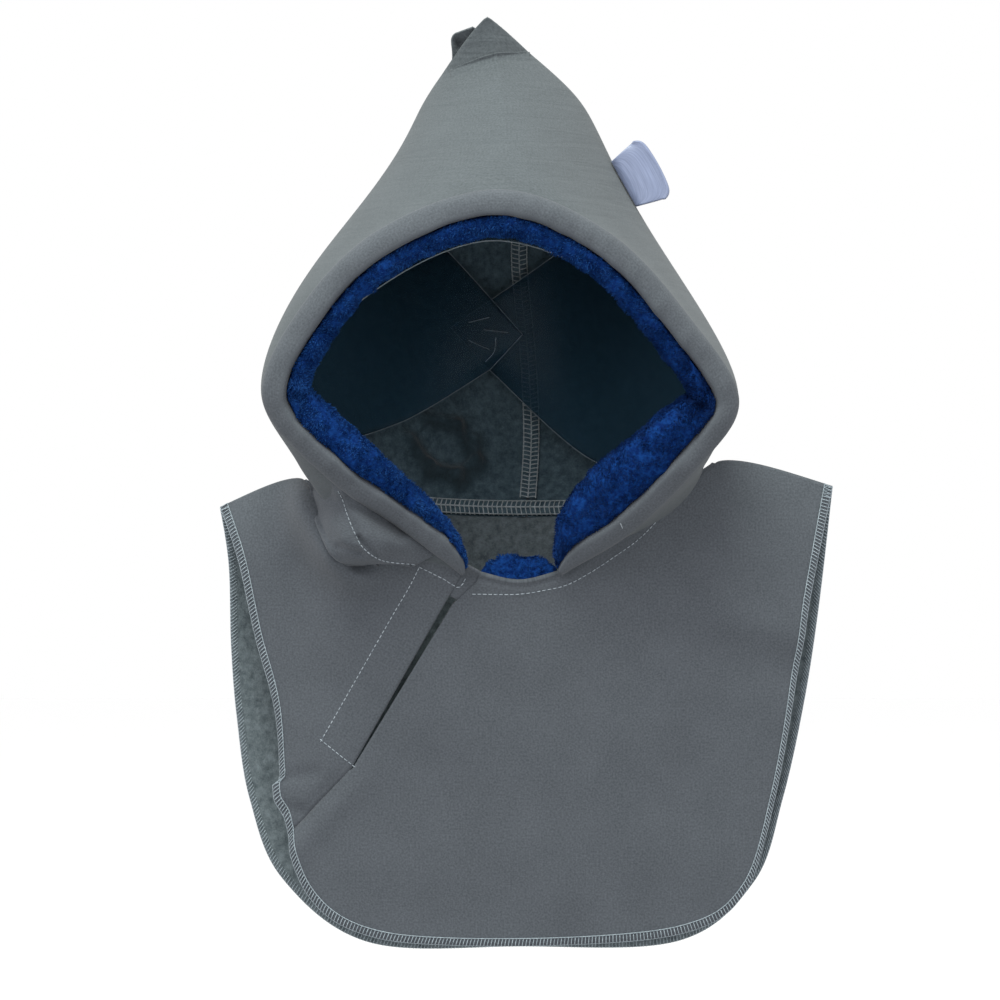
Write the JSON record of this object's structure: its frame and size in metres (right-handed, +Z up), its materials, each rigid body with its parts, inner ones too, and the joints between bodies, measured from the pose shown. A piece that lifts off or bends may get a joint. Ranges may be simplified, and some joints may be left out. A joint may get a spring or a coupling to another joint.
{
  "type": "detachable hood on a clear hood former",
  "caption": "Pointed pull-on softshell hood with a plush-lined face opening and a shoulder bib, held open by a bent clear sheet.",
  "frame": {"origin": "inside the crown, where the top of the wearer's head sits, 218 mm above the front neck points", "axes": "+Z up towards the peak, -Y out of the face opening, +X towards the wearer's left"},
  "size_m": [0.3365, 0.1983, 0.5143],
  "materials": {
    "softshell": "matte",
    "fleece": "brushed",
    "plush": "long pile",
    "thread": "matte",
    "satin": "satin",
    "film": "clear and glossy"
  },
  "bodies": {
    "root": {"hood_shell": "softshell", "face_band": "softshell", "bib_front": "softshell", "bib_back": "softshell", "placket": "softshell", "slit_underlap": "fleece", "plush_band": "plush", "chin_plush": "plush", "front_hem": "thread", "back_hem": "thread", "back_seam": "thread", "neck_seam": "thread", "side_tab": "satin", "clear_former": "film"}
  },
  "joints": []
}
